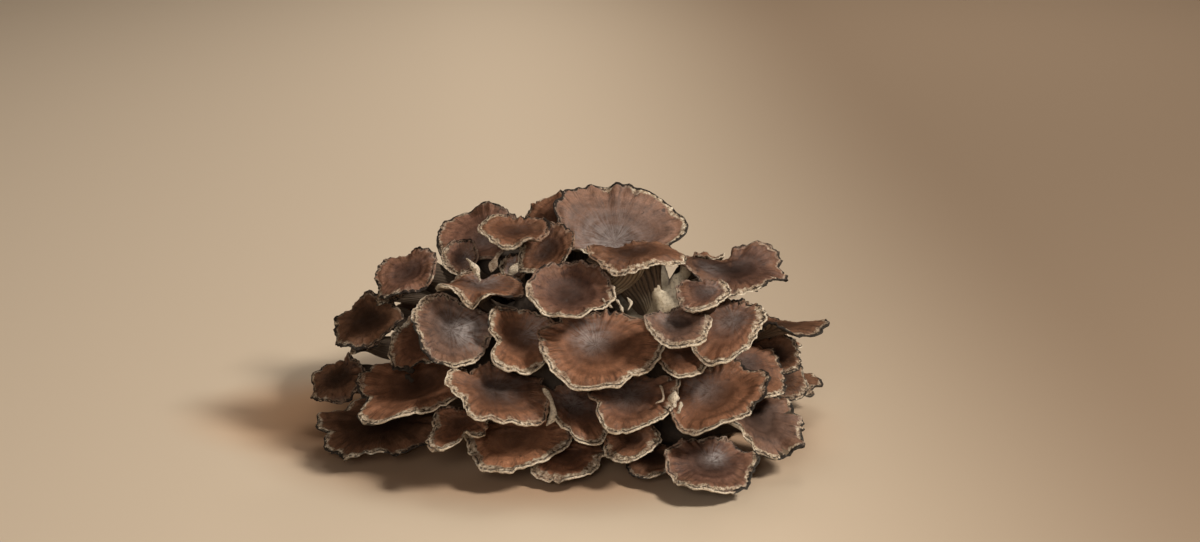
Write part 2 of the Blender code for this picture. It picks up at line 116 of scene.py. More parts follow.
class Paint:
    # A material and short ways to add its nodes.
    def __init__(self, name):
        self.material = bpy.data.materials.new(name)
        self.material.use_nodes = True
        self.tree = self.material.node_tree
        self.shader = self.tree.nodes["Principled BSDF"]

    def add(self, kind, settings, inputs):
        made = self.tree.nodes.new("ShaderNode" + kind)
        for key, value in settings.items():
            setattr(made, key, value)
        for key, value in inputs.items():
            self.put(made.inputs[key], value)
        return made

    def put(self, socket, value):
        if isinstance(value, bpy.types.NodeSocket):
            self.tree.links.new(value, socket)
        else:
            socket.default_value = value

    def attribute(self, name, output="Fac"):
        return self.add("Attribute", {"attribute_name": name}, {}).outputs[output]

    def place(self):
        return self.add("TexCoord", {}, {}).outputs["Object"]

    def stretched(self, vector, amounts):
        return self.add("VectorMath", {"operation": "MULTIPLY"}, {0: vector, 1: amounts}).outputs[0]

    def distance(self, vector, point):
        return self.add("VectorMath", {"operation": "DISTANCE"}, {0: vector, 1: point}).outputs["Value"]

    def math(self, operation, a, b=0.0, clamp=False):
        made = self.add("Math", {"operation": operation, "use_clamp": clamp}, {0: a, 1: b})
        return made.outputs[0]

    def times(self, a, b):
        return self.math("MULTIPLY", a, b)

    def swing(self, noise, size):
        # A noise moved to lie about 0 and made this large.
        return self.times(self.math("SUBTRACT", noise, 0.5), size)

    def weighted(self, terms):
        # The sum of some values, each times its weight.
        total = None
        for value, weight in terms:
            part = self.times(value, weight)
            total = part if total is None else self.math("ADD", total, part)
        return total

    def noise(self, where, scale, detail, rough, distortion=0.0):
        inputs = {"Vector": where, "Scale": scale, "Detail": detail, "Roughness": rough}
        inputs["Distortion"] = distortion
        return self.add("TexNoise", {}, inputs).outputs["Fac"]

    def between(self, value, low, high, to=(0.0, 1.0)):
        inputs = {"Value": value, "From Min": low, "From Max": high}
        inputs.update({"To Min": to[0], "To Max": to[1]})
        return self.add("MapRange", {"interpolation_type": "SMOOTHSTEP"}, inputs).outputs[0]

    def ramp(self, value, stops):
        made = self.add("ValToRGB", {}, {"Fac": value})
        elements = made.color_ramp.elements
        while len(elements) < len(stops):
            elements.new(0.5)
        for element, (spot, colour) in zip(elements, stops):
            element.position = spot
            element.color = (*colour, 1)
        return made.outputs["Color"]

    def mix(self, factor, a, b, blend="MIX"):
        made = self.tree.nodes.new("ShaderNodeMix")
        made.data_type = "RGBA"
        made.blend_type = blend
        self.put(made.inputs[0], factor)
        for socket, colour in ((made.inputs[6], a), (made.inputs[7], b)):
            isFlat = not isinstance(colour, bpy.types.NodeSocket) and len(colour) == 3
            self.put(socket, (*colour, 1) if isFlat else colour)
        return made.outputs[2]

    def bump(self, height, distance, strength):
        inputs = {"Height": height, "Distance": distance, "Strength": strength}
        return self.add("Bump", {}, inputs).outputs["Normal"]


def toned(colour, amount, warm=1.0):
    return (colour[0] * amount * warm, colour[1] * amount, colour[2] * amount / warm)


def floorPaint():
    # A paper backdrop with painted shade, darker towards its right and rear.
    paint = Paint("floorPaint")
    place = paint.place()
    apart = paint.add("SeparateXYZ", {}, {0: place})
    reach = paint.math("ADD", apart.outputs["X"], paint.times(apart.outputs["Y"], studio["floorSlant"]))
    colour = paint.mix(paint.between(reach, *studio["floorFade"]), studio["floorPale"], studio["floorShadeTint"])
    # Painted shadows under the cluster.
    for tint, stretch, centre, end, full in paintedShadows:
        away = paint.distance(paint.stretched(place, stretch), centre)
        colour = paint.mix(paint.between(away, end, full, (0.0, studio["paintedShadowStrength"])), colour, tint)
    paint.put(paint.shader.inputs["Base Color"], colour)
    paint.put(paint.shader.inputs["Roughness"], 0.9)
    paint.put(paint.shader.inputs["Specular IOR Level"], 0.1)
    return paint.material


skinTints = {
    "skin_brown": (0.178, 0.084, 0.048),
    "skin_warm": (0.200, 0.095, 0.053),
    "skin_mauve": (0.180, 0.095, 0.066),
    "skin_grey": (0.178, 0.108, 0.080),
    "skin_dark": (0.115, 0.058, 0.033),
}
creamTint = (0.70, 0.61, 0.47)
tanTint = (0.42, 0.31, 0.205)
pitTint = (0.070, 0.044, 0.030)
warmTint = (0.235, 0.118, 0.066)
# Whitish colour that is partly grey coating and partly painted sheen.
bloomAndSheenTint = (0.50, 0.455, 0.435)
blackTint = (0.011, 0.008, 0.006)


# Colours of the lower side and the stalk, and the painted shade in their grooves.
underTints = {
    "cap": (0.110, 0.068, 0.041), "capMiddle": (0.100, 0.062, 0.037), "capEdge": (0.23, 0.165, 0.105),
    "fleshBrown": (0.30, 0.215, 0.130), "fleshPale": (0.78, 0.66, 0.48), "fleshTan": (0.42, 0.32, 0.21),
    "gillGrooveShade": (0.026, 0.017, 0.011), "gillHair": (0.30, 0.23, 0.15),
    "trunk": (0.060, 0.038, 0.024), "trunkGrooveShade": (0.045, 0.031, 0.021),
}

# What a skin's material reads at each of its points, besides the grain.
factNames = ("share", "inset", "under", "stalk", "burnt", "pale", "bloom", "gill", "shade", "flesh", "deep",
             "zoneShift")

# Noises of a skin: scale, detail, roughness, distortion. Those of the grain run from hub to margin.
placeNoises = {"broad": (42, 3, 0.55, 0.6), "patch": (130, 4, 0.6, 0.8), "speck": (1300, 3, 0.7, 0.0),
               "fleck": (480, 3, 0.6, 0.0), "spots": (210, 2, 0.5, 0.0)}
grainNoises = {"fibre": (1.0, 4, 0.62, 0.4), "hair": (3.2, 3, 0.7, 0.2)}
strokeNoise = (1.0, 3, 0.6, 0.5)
strokeStretch = (0.14, 0.14, 3.6)  # makes the strokes run round the hub


def skinReads(paint):
    # The facts and noises that the colours of a skin are made from, by name.
    reads = {name: paint.attribute(name) for name in factNames}
    place, grain = paint.place(), paint.attribute("grain", "Vector")
    reads.update({name: paint.noise(place, *values) for name, values in placeNoises.items()})
    reads.update({name: paint.noise(grain, *values) for name, values in grainNoises.items()})
    reads["stroke"] = paint.noise(paint.stretched(grain, strokeStretch), *strokeNoise)
    reads["outer"] = paint.between(reads["inset"], 20.0, 2.0)
    return SimpleNamespace(**reads)


def ringColour(paint, tint, at):
    # Soft rings of colour round the middle, broken by the noises.
    spot = paint.math("ADD", paint.math("ADD", at.share, paint.swing(at.broad, 0.5)), at.zoneShift)
    rings = paint.ramp(spot, (
        (0.00, toned(tint, 0.70, 0.97)),
        (0.20, toned(tint, 0.50, 1.02)),
        (0.34, toned(tint, 0.88)),
        (0.44, toned(tint, 0.52, 1.05)),
        (0.56, toned(tint, 0.98, 1.05)),
        (0.66, toned(tint, 0.60, 1.03)),
        (0.78, toned(tint, 1.15, 1.03)),
        (0.87, toned(tint, 0.85, 1.02)),
        (1.00, toned(tint, 1.35, 0.98)),
    ))
    mottled = paint.ramp(at.patch, ((0.30, toned(tint, 0.52, 0.96)), (0.46, toned(tint, 0.86, 1.06)),
                                    (0.58, toned(tint, 1.12, 1.0)), (0.72, toned(tint, 1.55, 0.93))))
    colour = paint.mix(0.34, rings, mottled)
    # Painted shade towards the hub and painted light towards the margin.
    hubShadeMarginLight = paint.ramp(spot, ((0.15, (0.74, 0.72, 0.71)), (0.85, (1.28, 1.26, 1.22))))
    return paint.mix(1.0, colour, hubShadeMarginLight, "MULTIPLY")


def topColour(paint, tint, at):
    # The upper side inside its margin: rings, fibres and strokes, shade, dust and dark spots.
    colour = ringColour(paint, tint, at)
    streaks = paint.times(paint.between(at.fibre, 0.50, 0.62), paint.times(at.outer, 0.95))
    colour = paint.mix(streaks, colour, toned(tint, 0.34, 1.02))
    lines = paint.times(paint.between(at.hair, 0.56, 0.74), paint.times(at.outer, 0.6))
    colour = paint.mix(lines, colour, toned(tint, 2.0, 0.95))
    colour = paint.mix(paint.between(at.stroke, 0.52, 0.72, (0.0, 0.15)), colour, toned(tint, 1.7, 0.94))
    colour = paint.mix(paint.between(at.stroke, 0.46, 0.30, (0.0, 0.22)), colour, toned(tint, 0.40, 1.0))
    # Painted shade, darker towards the hub and the middle of the cluster.
    colour = paint.mix(paint.times(at.deep, 0.9), colour, toned(tint, 0.16, 1.08))
    # Brightness of each frond: partly a tone that differs at random, partly painted light and shade set frond
    # by frond.
    shadeTint = paint.ramp(at.shade, ((0.0, (0.55, 0.54, 0.54)), (0.8, (1.23, 1.21, 1.20)),
                                      (1.0, (1.80, 1.78, 1.74))))
    colour = paint.mix(1.0, colour, shadeTint, "MULTIPLY")
    # A warmer, mottled zone inside the margin.
    warmer = paint.times(paint.between(at.inset, 11.0, 5.5), paint.between(at.patch, 0.38, 0.56))
    colour = paint.mix(paint.times(warmer, 0.45), colour, warmTint)
    dusty = paint.weighted(((at.speck, 0.55), (at.fleck, 0.45)))
    dust = paint.ramp(dusty, ((0.38, (0.78, 0.77, 0.77)), (0.62, (1.24, 1.23, 1.22))))
    colour = paint.mix(1.0, colour, dust, "MULTIPLY")
    spots = paint.between(at.spots, 0.29, 0.22)
    return paint.mix(paint.times(spots, 0.75), colour, toned(tint, 0.22))


def marginColour(paint, tint, at, colour, edge, broken):
    # The mottled tan band along the margin, with a broken dark line inside it.
    crusty = paint.weighted(((at.speck, 0.45), (at.fleck, 0.55)))
    band = paint.ramp(crusty, ((0.40, pitTint), (0.45, toned(tanTint, 0.62)), (0.50, tanTint),
                               (0.59, creamTint)))
    unripe = paint.between(at.pale, 1.0, 0.0, (0.0, 0.75))
    faded = paint.math("MAXIMUM", unripe, paint.between(at.patch, 0.50, 0.38, (0.0, 0.45)))
    band = paint.mix(faded, band, toned(tint, 1.15, 0.97))
    colour = paint.mix(paint.between(edge, 3.2, 2.3), colour, band)
    colour = paint.mix(paint.times(broken, 0.85), colour, toned(blackTint, 1.6))
    rim = paint.between(paint.math("ADD", at.inset, paint.times(at.fleck, 1.6)), 1.95, 1.35)
    crumbs = paint.times(paint.between(at.pale, 0.15, 0.8), paint.between(at.speck, 0.34, 0.50))
    return paint.mix(paint.times(paint.times(rim, crumbs), 0.9), colour, toned(creamTint, 1.12))


def bellyColour(paint, at):
    # The lower side: gills, then the stalk.
    under = underTints
    belly = paint.ramp(at.share, ((0.0, under["cap"]), (0.8, under["capMiddle"]), (0.97, under["capEdge"])))
    fleshy = paint.ramp(at.broad, ((0.35, under["fleshBrown"]), (0.5, under["fleshPale"]),
                                   (0.65, under["fleshTan"])))
    belly = paint.mix(at.flesh, belly, fleshy)
    # Painted shade in the grooves between the gills.
    belly = paint.mix(paint.between(at.gill, 0.65, 0.1, (0.0, 0.85)), belly, under["gillGrooveShade"])
    belly = paint.mix(paint.between(at.hair, 0.45, 0.7, (0.0, 0.25)), belly, under["gillHair"])
    rim = paint.between(paint.math("ADD", at.inset, paint.times(at.fleck, 1.6)), 2.4, 1.2)
    belly = paint.mix(rim, belly, paint.mix(at.pale, toned(tanTint, 0.5), toned(creamTint, 0.85)))
    trunk = paint.mix(at.flesh, under["trunk"], fleshy)
    # Painted shade in the grooves of the stalk.
    trunk = paint.mix(paint.between(at.gill, 0.6, 0.2, (0.0, 0.6)), trunk, under["trunkGrooveShade"])
    return paint.mix(at.stalk, belly, trunk)


def frondPaint(slot):
    tint = skinTints[slot]
    paint = Paint(slot)
    at = skinReads(paint)
    colour = topColour(paint, tint, at)

    # A whitish patch brushed round the middle of some caps: partly their own grey coating, partly a painted
    # sheen highlight.
    brushed = paint.weighted(((at.stroke, 0.4), (at.fibre, 0.7)))
    bloomAndSheenMask = paint.times(at.bloom, paint.between(brushed, 0.38, 0.68))
    colour = paint.mix(paint.times(bloomAndSheenMask, 0.72), colour, bloomAndSheenTint)

    wander = paint.math("ADD", paint.swing(at.patch, 7.0), paint.swing(at.fleck, 3.4))
    edge = paint.math("SUBTRACT", paint.math("ADD", at.inset, wander), at.pale)
    trace = paint.math("ADD", at.inset, paint.times(wander, 0.30))
    line = paint.times(paint.between(trace, 1.25, 1.60), paint.between(trace, 2.45, 2.05))
    broken = paint.times(line, paint.between(at.fibre, 0.40, 0.54))
    colour = marginColour(paint, tint, at, colour, edge, broken)
    colour = paint.mix(paint.between(at.under, 0.25, 0.45), colour, bellyColour(paint, at))

    # Black, crinkled margins.
    reach = paint.math("ADD", at.inset, paint.swing(at.fleck, 4.0))
    reach = paint.math("SUBTRACT", reach, paint.times(at.burnt, 1.7))
    charred = paint.times(paint.between(reach, 0.35, -0.15), paint.between(at.burnt, 0.05, 0.5))
    colour = paint.mix(paint.times(charred, 0.95), colour, blackTint)
    paint.put(paint.shader.inputs["Base Color"], colour)

    gloss = paint.between(paint.between(edge, 3.0, 1.8), 0.0, 1.0, (0.52, 0.74))
    gloss = paint.math("SUBTRACT", gloss, paint.times(bloomAndSheenMask, 0.08))
    gloss = paint.math("ADD", gloss, paint.swing(at.fleck, 0.30))
    gloss = paint.math("ADD", gloss, paint.times(at.under, 0.25), True)
    paint.put(paint.shader.inputs["Roughness"], gloss)
    paint.put(paint.shader.inputs["Specular IOR Level"], 0.30)
    height = paint.weighted(((at.fibre, at.outer), (at.hair, 0.55), (at.stroke, 0.12), (at.speck, 0.22),
                             (at.fleck, 0.30), (broken, -0.6)))
    paint.put(paint.shader.inputs["Normal"], paint.bump(height, 0.8 * mm, 0.75))
    return paint.material


def weldedMesh(node):
    # Merged points of a node and, for each, the points it has an edge to.
    mesh = node.data
    places = np.array([corner.co for corner in mesh.vertices])
    points, merged = np.unique(np.round(places, 6), axis=0, return_inverse=True)
    merged = merged.reshape(-1)
    near = [set() for _ in points]
    for face in mesh.polygons:
        corners = [int(merged[corner]) for corner in face.vertices]
        for a, b in zip(corners, corners[1:] + corners[:1]):
            if a != b:
                near[a].add(b)
                near[b].add(a)
    return points, near


def layersFrom(pole, near):
    layers = [{pole}]
    seen = {pole}
    while layers[-1]:
        following = set().union(*(near[point] for point in layers[-1])) - seen
        seen |= following
        layers.append(following)
    return layers[:-1]


def roundOrder(layer, near, points, up):
    # The points of a ring in order, anticlockwise seen from above the cap.
    order = [min(layer)]
    while len(order) < len(layer):
        order.append(min(near[order[-1]] & layer - set(order)))
    spokes = points[order] - points[order].mean(axis=0)
    area = np.cross(spokes, np.roll(spokes, -1, axis=0)).sum(axis=0)
    return order if area @ up > 0 else order[::-1]


def readRings(node):
    # The hub, the rings from the hub over the margin and down the stalk, and the point that ends it.
    points, near = weldedMesh(node)
    spokes = max(len(around) for around in near)
    poles = [point for point, around in enumerate(near) if len(around) == spokes]
    layers = layersFrom(poles[0], near)
    widths = [np.ptp(points[list(layer)], axis=0).max() for layer in layers]
    if np.argmax(widths) > (len(layers) - 1) / 2:
        layers.reverse()
    hub = points[min(layers[0])]
    up = hub - points[list(layers[len(layers) - 4])].mean(axis=0)
    rings = [roundOrder(layers[1], near, points, up)]
    for layer in layers[2:-1]:
        last = rings[-1]
        shared = [near[point] & near[last[number - 1]] & layer for number, point in enumerate(last)]
        rings.append([min(common) for common in shared])
    return hub, points[np.array(rings)], points[min(layers[-1])]


def splineThrough(knots, values, queries):
    # A smooth curve through values at knots, read at the queries.
    knots = np.asarray(knots, float)
    queries = np.asarray(queries, float)
    flat = values.reshape(len(knots), -1)
    gaps = np.diff(knots)
    slopes = np.diff(flat, axis=0) / gaps[:, None]
    system = np.eye(len(knots))
    right = np.zeros_like(flat)
    for i in range(1, len(knots) - 1):
        system[i, i - 1:i + 2] = gaps[i - 1], 2 * (gaps[i - 1] + gaps[i]), gaps[i]
        right[i] = 6 * (slopes[i] - slopes[i - 1])
    bends = np.linalg.solve(system, right)
    spot = np.clip(np.searchsorted(knots, queries) - 1, 0, len(knots) - 2)
    gap = gaps[spot][:, None]
    after = (queries - knots[spot])[:, None] / gap
    before = 1 - after
    found = before * flat[spot] + after * flat[spot + 1]
    found += ((before**3 - before) * bends[spot] + (after**3 - after) * bends[spot + 1]) * gap**2 / 6
    return found.reshape((len(queries),) + values.shape[1:])


def finerRound(rows, turns):
    # Rows of a few spokes each, read at many more turns.
    wrap = 5
    padded = np.concatenate([rows[:, -wrap:], rows, rows[:, :wrap]], axis=1)
    knots = (np.arange(padded.shape[1]) - wrap) / rows.shape[1]
    return np.moveaxis(splineThrough(knots, np.moveaxis(padded, 1, 0), turns), 0, 1)


def unit(vectors):
    return vectors / np.maximum(np.linalg.norm(vectors, axis=-1, keepdims=True), 1e-12)


def smooth(values, low, high):
    t = np.clip((values - low) / (high - low), 0, 1)
    return t * t * (3 - 2 * t)


def ripple(random, turns, counts, fade=0.0):
    # Waves round the margin with the given counts, as one curve of about unit height.
    total = np.zeros_like(turns)
    for count in counts:
        height = random.normal() / count**fade
        total += height * np.cos(math.tau * (count * turns + random.random()))
    return total / math.sqrt(sum(1 / count ** (2 * fade) for count in counts))


lumpWaves = 14


def lumps(random, points, size):
    # Soft lumps of about this size over the points.
    total = np.zeros(points.shape[:-1])
    for _ in range(lumpWaves):
        way = random.normal(size=3)
        way *= random.uniform(0.6, 1.4) / np.linalg.norm(way) / size * math.tau / 2
        total += np.cos(points @ way + random.uniform(0, math.tau))
    return total / math.sqrt(lumpWaves / 2)


frondMesh = {
    "step": 1.30 * mm,  # spacing of the points round the margin
    "fewest": 96,
    "most": 176,
    "topShares": [0.07, 0.14, 0.21, 0.28, 0.35, 0.42, 0.49, 0.56, 0.62, 0.68, 0.73, 0.77, 0.81,
                  0.845, 0.875, 0.9, 0.922, 0.94, 0.956, 0.97, 0.983, 0.994],
    "lipTurns": (0.2, 0.4, 0.6, 0.8),
    "underRows": 17,
    "cadTopShares": (0.35, 0.65, 0.88, 1.0),
    "cadUnderShares": (0.94, 0.6),
    "fullLength": 150 * mm,  # a margin shorter than this has smaller waves
    "darkBurnt": 0.55,  # the least burnt that a dark frond's margin is
}

# ragged: in and out waves of the margin; ruffle: up and down; relief: on the upper side; all in mm.
plainLook = {
    "ragged": (0.65, 0.45, 0.24), "ruffle": (0.95, 0.35), "edges": (), "pleats": 0.30, "fibres": 0.15,
    "rings": 0.20, "lumps": 0.60, "lip": 0.22, "navel": 0.6, "burnt": (90, 70, 0.7),
    "bloom": (0.0, 0.0, 0.0, 1.0), "deep": 0.55, "shade": 0.5, "flesh": 0.04, "wide": 1.0,
}

# What differs from the plain look. Bearing 0 is +X and -90 faces the viewer.
# edges: bearing, half width in degrees, how far out and how far up the margin goes, in mm.
# burnt: the bearing of the black margin, its half width in degrees and its strength.
# wide: how wide the pale band is, in mm.
# bloom: strength, where along X and Y from the hub in mm, radius in mm, of a whitish patch that is partly
# grey coating and partly painted sheen.
# The darkening towards a frond's hub and the middle of the cluster is painted shade.
# shade: the frond's brightness, partly a tone that differs at random and partly painted light and shade.
looks = {
    "crown_frond": {
        "edges": ((172, 5, -2.5, -1.2), (20, 12, 1.5, 0.0), (66, 4, -1.6, -0.6), (98, 9, -1.2, -0.8),
                  (128, 26, 1.0, 0.0)),
        "ragged": (0.4, 0.5, 0.3), "ruffle": (0.35, 0.25), "bloom": (0.75, -3, -6, 17),
        "burnt": (75, 125, 1.0),
        "deep": 0.1, "pleats": 0.04, "fibres": 0.05, "rings": 0.5, "shade": 0.64, "wide": 3.2},
    "crown_saddle_frond": {
        "edges": ((-60, 14, 0.0, -1.2), (-170, 16, 1.0, 2.0), (5, 14, 0.5, 1.5)),
        "burnt": (60, 70, 0.7), "deep": 0.6, "flesh": 1.0, "shade": 0.1, "wide": 1.6},
    "crown_back_frond": {"burnt": (110, 90, 0.9), "deep": 0.2, "shade": 0.45},
    "upper_left_rear_frond": {
        "ragged": (0.4, 0.4, 0.2), "ruffle": (0.5, 0.3), "burnt": (110, 100, 0.9), "bloom": (0.3, 6, 0, 9),
        "shade": 0.5},
    "upper_left_frond": {"burnt": (60, 70, 0.8), "shade": 0.45},
    "upper_middle_frond": {"burnt": (60, 60, 0.6), "deep": 0.8, "shade": 0.3},
    "upright_frond": {"bloom": (0.6, 5, 0, 5), "shade": 0.8},
    "folded_front_frond": {
        "edges": ((-105, 12, 1.5, -0.8), (-62, 12, -1.5, 0.3), (-150, 14, -1.0, 0.5)),
        "bloom": (0.5, 2, 6, 9), "burnt": (-10, 50, 0.9), "shade": 0.55},
    "hollow_bud_frond": {"bloom": (1.0, 0, 0, 8), "shade": 0.8},
    "left_shoulder_frond": {"edges": ((110, 9, -1.5, 0.0),), "burnt": (170, 150, 0.95),
                            "shade": 0.35},
    "left_dark_frond": {"edges": ((-160, 14, -1.5, 1.0),), "burnt": (170, 150, 0.8), "shade": 0.35},
    "left_knotted_frond": {"edges": ((-100, 7, -2.5, 0.0),), "burnt": (-120, 30, 0.9), "shade": 0.4},
    "left_sheen_frond": {
        "edges": ((-140, 10, 1.0, 0.8),), "bloom": (1.0, 7, 1, 9), "burnt": (-130, 35, 0.9), "deep": 0.25,
        "shade": 0.38},
    "left_large_frond": {
        "edges": ((-168, 8, -3.5, 0.0), (-122, 6, -1.5, 0.0), (-145, 8, 1.5, 0.8)),
        "burnt": (170, 60, 0.8), "deep": 0.55, "shade": 0.68, "wide": 1.9},
    "far_left_frond": {"edges": ((100, 9, -1.2, 0.0),), "burnt": (150, 120, 0.8), "shade": 0.15},
    "left_bottom_frond": {
        "edges": ((-172, 6, -3.0, 0.0), (-132, 5, -2.0, 0.6), (155, 9, 2.5, 1.5), (-155, 5, 1.5, 0.0)),
        "burnt": (-160, 80, 0.7), "wide": 2.0, "deep": 0.7, "pleats": 0.5, "shade": 0.35},
    "heart_frond": {
        "edges": ((-148, 11, -4.5, -1.5), (-110, 12, 1.5, 0.5)), "burnt": (160, 30, 0.5),
        "bloom": (0.7, 9, 3, 7), "deep": 0.3, "shade": 0.75, "wide": 2.2},
    "central_frond": {
        "edges": ((152, 7, -4.0, 0.0), (168, 8, 2.0, 1.6), (-50, 8, -1.5, 0.0)), "burnt": (90, 40, 0.5),
        "bloom": (0.85, -3, 5, 8), "rings": 0.4, "navel": 0.8, "deep": 0.25, "shade": 0.75, "wide": 1.5},
    "front_long_frond": {
        "edges": ((-92, 6, -3.5, -0.5), (-60, 14, 1.0, 0.0), (-135, 8, -1.0, 0.5)), "bloom": (0.2, 4, 4, 12),
        "fibres": 0.22, "deep": 0.95, "shade": 0.35},
    "front_folded_frond": {
        "edges": ((-95, 6, -3.0, -1.2), (-60, 8, 0.0, -1.0)), "bloom": (0.45, 0, 2, 9), "deep": 0.5},
    "front_middle_frond": {
        "edges": ((-150, 7, -2.0, 1.2), (5, 8, 0.5, 2.0)), "bloom": (0.4, -4, 4, 12), "pleats": 0.5,
        "fibres": 0.28, "shade": 0.55},
    "bottom_small_frond": {
        "edges": ((-78, 9, -3.5, 0.0),), "lip": 0.7, "wide": 2.8, "deep": 0.3, "shade": 0.65},
    "bottom_front_frond": {"rings": 0.35, "wide": 2.4, "lip": 0.4, "deep": 0.0, "shade": 1.0},
    "bottom_step_frond": {"ragged": (1.0, 0.8, 0.4), "wide": 2.6, "deep": 0.3, "shade": 0.8},
    "bottom_middle_frond": {"wide": 2.4, "edges": ((-150, 9, 2.5, -1.0),), "shade": 0.55},
    "right_saddle_frond": {
        "edges": ((52, 20, 2.0, 5.0), (108, 18, -5.0, -3.0), (160, 14, 1.0, 2.0)), "burnt": (15, 75, 1.0),
        "bloom": (0.3, -11, -3, 5), "deep": 0.9, "shade": 0.0},
    "right_small_frond": {"bloom": (0.4, 4, 3, 6), "shade": 0.5, "wide": 1.8, "burnt": (90, 40, 0.5)},
    "middle_small_frond": {"bloom": (0.5, -3, 6, 7), "navel": 1.2, "flesh": 0.8, "shade": 0.5, "wide": 1.8},
    "right_middle_frond": {
        "edges": ((58, 7, -2.0, 1.0), (160, 6, 1.0, 1.0)), "bloom": (0.4, 0, 0, 9),
        "burnt": (60, 60, 0.9), "wide": 2.0, "deep": 0.3, "shade": 0.6},
    "right_wing_frond": {
        "edges": ((10, 7, 1.5, 0.5), (-12, 5, -1.2, 0.0)), "burnt": (0, 140, 1.0), "shade": 0.3},
    "right_large_frond": {
        "edges": ((22, 8, -2.0, 0.0), (2, 6, 1.0, 1.0), (-18, 5, -1.2, 0.0)), "rings": 0.4,
        "bloom": (0.55, -6, 3, 8), "burnt": (10, 70, 1.0), "deep": 0.3, "shade": 0.65},
    "right_side_frond": {"bloom": (0.3, -4, 0, 9), "burnt": (40, 90, 0.9), "shade": 0.55},
    "right_lower_frond": {
        "edges": ((-40, 5, 0.0, -1.2), (-62, 5, 0.0, -1.2), (-15, 4, -1.8, 0.6), (5, 5, 1.2, 0.0)),
        "burnt": (-5, 75, 1.0), "pleats": 1.5, "fibres": 0.42, "shade": 0.3, "wide": 1.8},
    "bottom_right_frond": {
        "edges": ((0, 8, 1.5, 0.6), (-22, 5, -2.0, 0.0), (-45, 6, 0.8, 0.6)), "bloom": (1.0, 2, 4, 5),
        "wide": 1.8, "burnt": (-5, 60, 1.0), "deep": 0.45, "shade": 0.5},
}


def lookOf(name, random):
    # The look of a frond. Those at the back differ from each other by chance.
    look = {**plainLook, **looks.get(name, {})}
    if name.startswith("back_"):
        bearings = random.uniform(-180, 180, 4)
        look["edges"] = [(bearing, random.uniform(4, 10), random.uniform(-3.5, -1), random.uniform(-1, 1))
                         for bearing in bearings]
        look["bloom"] = (random.uniform(0.1, 0.9), random.uniform(-6, 6), random.uniform(-6, 6),
                         random.uniform(8, 14))
        look["burnt"] = (random.uniform(-180, 180), random.uniform(50, 110), random.uniform(0.6, 1.0))
        look["pleats"] = random.uniform(0.15, 0.7)
        look["deep"] = random.uniform(0.2, 0.6)
        look["shade"] = random.uniform(0.3, 0.8)
    return look


def bearingMask(bearing, target, halfWidth):
    # 1 where the bearing is at the target, falling smoothly to 0 at the half width.
    off = np.abs((bearing - target + 180) % 360 - 180)
    return 1 - smooth(off, halfWidth * 0.55, halfWidth * 1.25)


def marginShift(look, random, turns, bearing, burnt, small):
    # How far the margin goes out and up, in metres. Burnt margins have teeth.
    wide, middle, fine = look["ragged"]
    outward = wide * ripple(random, turns, range(4, 9)) + middle * ripple(random, turns, range(10, 22))
    outward += fine * ripple(random, turns, range(26, 48))
    outward += 0.42 * burnt * small * (ripple(random, turns, range(14, 40)) - 0.4)
    wide, fine = look["ruffle"]
    upward = wide * ripple(random, turns, range(3, 9)) + fine * ripple(random, turns, range(12, 34))
    upward += 0.45 * burnt * small * ripple(random, turns, range(16, 40))
    outward, upward = outward * small, upward * small
    for target, halfWidth, further, higher in look["edges"]:
        bump = np.exp(-(((bearing - target + 180) % 360 - 180) / halfWidth) ** 2)
        outward += further * bump
        upward += higher * bump
    return outward * mm, upward * mm


def gridNormals(grid):
    along = np.gradient(grid, axis=0)
    around = (np.roll(grid, -1, axis=1) - np.roll(grid, 1, axis=1)) / 2
    return unit(np.cross(along, around))


def topRows(hub, rings, turns):
    shares = frondMesh["cadTopShares"]
    inner = rings[:len(shares)]
    across = np.roll(inner[::-1], -(inner.shape[1] // 2), axis=1)
    middle = np.broadcast_to(hub, (1,) + inner.shape[1:])
    knots = [-share for share in reversed(shares)] + [0] + list(shares)
    fine = frondMesh["topShares"] + [1.0]
    return finerRound(splineThrough(knots, np.concatenate([across, middle, inner]), fine), turns)


def underRows(rings, turns):
    near, far = frondMesh["cadUnderShares"]
    count = len(frondMesh["cadTopShares"])
    lower = rings[count + 1:]
    edge = lower[0] + (lower[0] - lower[1]) * (1 - near) / (near - far)
    rows = np.concatenate([edge[None], lower])
    steps = np.linalg.norm(np.diff(rows, axis=0), axis=2).mean(axis=1)
    knots = np.concatenate([[0], np.cumsum(steps)])
    spots = np.linspace(0, 1, frondMesh["underRows"]) ** 1.15 * knots[-1]
    shares = np.interp(spots, knots[:4], [1, near, far, 0.25])
    stalk = smooth(spots, knots[2], knots[3] + 1 * mm)
    return finerRound(splineThrough(knots, rows, spots), turns), shares, stalk


